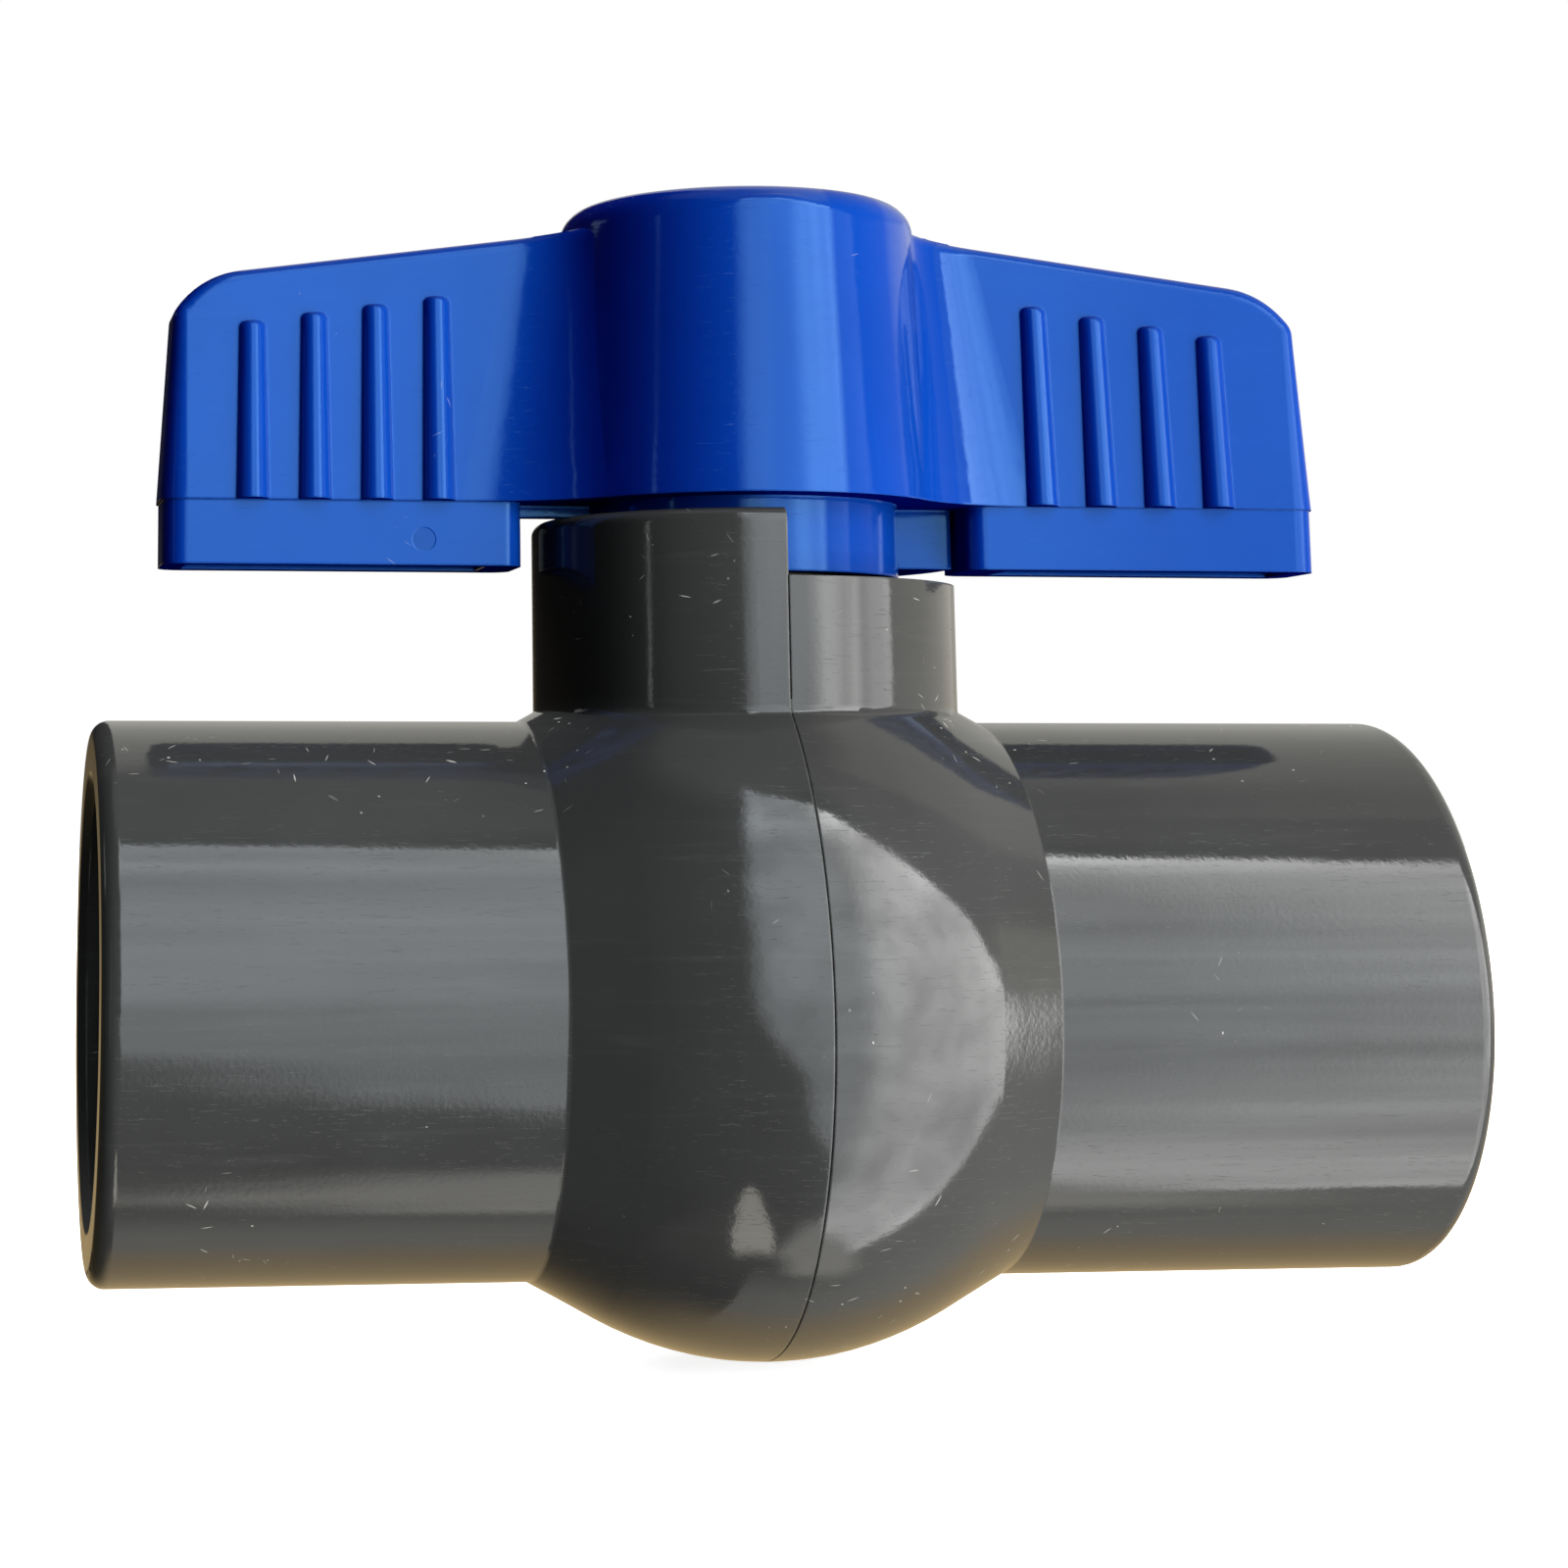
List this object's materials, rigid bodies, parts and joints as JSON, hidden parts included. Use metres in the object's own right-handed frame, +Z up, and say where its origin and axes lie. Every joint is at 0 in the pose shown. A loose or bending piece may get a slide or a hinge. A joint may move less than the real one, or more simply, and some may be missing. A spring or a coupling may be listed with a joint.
{
  "type": "ball valve",
  "caption": "Compact two-way plastic ball valve with plain glue-in pipe sockets and a quarter-turn wing handle.",
  "frame": {"origin": "lowest point of the body's round middle, straight below the stem; the pipe axis is 26.4 mm above it", "axes": "+X along the pipe towards the half with the low collar, +Z up the stem towards the handle, +Y away from the side where the handle's stop tab leaves a gap"},
  "size_m": [0.1, 0.0528, 0.0866],
  "materials": {
    "body_plastic": "semi-gloss moulded grey PVC",
    "handle_plastic": "glossy moulded blue plastic",
    "ball_plastic": "polished light grey PVC",
    "stem_plastic": "moulded grey PVC",
    "seat_plastic": "waxy white PTFE",
    "seal_rubber": "black EPDM rubber",
    "fastener_steel": "plain stainless steel"
  },
  "bodies": {
    "valve_body": {"body_left_half": "body_plastic", "body_right_half": "body_plastic", "seat_ring_left": "seat_plastic", "seat_ring_right": "seat_plastic", "seat_o_ring_left": "seal_rubber", "seat_o_ring_right": "seal_rubber", "thrust_washer": "seat_plastic"},
    "handle_and_stem": {"handle": "handle_plastic", "handle_cap": "handle_plastic", "handle_screw": "fastener_steel", "screw_washer": "fastener_steel", "stem": "stem_plastic", "stem_o_ring_lower": "seal_rubber", "stem_o_ring_upper": "seal_rubber"},
    "ball": {"ball": "ball_plastic"}
  },
  "joints": [
    {"name": "handle_turn", "type": "hinge", "parent": "valve_body", "child": "handle_and_stem", "pos_m": [0, 0, 0.0633], "axis": [0, 0, -1], "range_deg": [0, 90]},
    {"name": "ball_turn", "type": "hinge", "parent": "valve_body", "child": "ball", "pos_m": [0, 0, 0.0264], "axis": [0, 0, -1], "range_deg": [0, 90]}
  ],
  "couplings": [
    {"joint": "ball_turn", "follows": "handle_turn", "ratio": 1}
  ]
}
